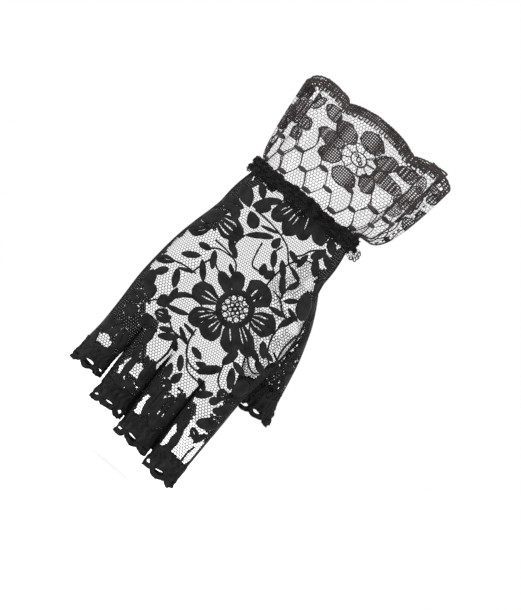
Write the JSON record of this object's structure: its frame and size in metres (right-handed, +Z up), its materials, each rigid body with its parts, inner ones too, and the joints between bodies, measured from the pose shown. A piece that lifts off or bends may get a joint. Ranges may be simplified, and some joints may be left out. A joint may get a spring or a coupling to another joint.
{
  "type": "fingerless lace evening glove",
  "caption": "Short lace evening glove with half fingers, for the right hand: floral body, scalloped finger edges, gathered wrist and a fluted lace frill.",
  "frame": {"origin": "middle of the wrist opening, at the seam between the body and the frill", "axes": "+Z up the forearm out of the wrist opening, fingers towards -Z, thumb towards +X, back of the hand towards -Y and palm towards +Y"},
  "size_m": [0.0879, 0.0504, 0.1876],
  "materials": {
    "body_lace": "matt",
    "edging_lace": "matt",
    "band_lace": "matt",
    "frill_lace": "matt"
  },
  "bodies": {
    "root": {"back_panel": "body_lace", "palm_panel": "body_lace", "thumb_stall": "body_lace", "little_edging": "edging_lace", "ring_edging": "edging_lace", "middle_edging": "edging_lace", "index_edging": "edging_lace", "thumb_edging": "edging_lace", "wrist_band": "band_lace", "wrist_frill": "frill_lace"}
  },
  "joints": []
}
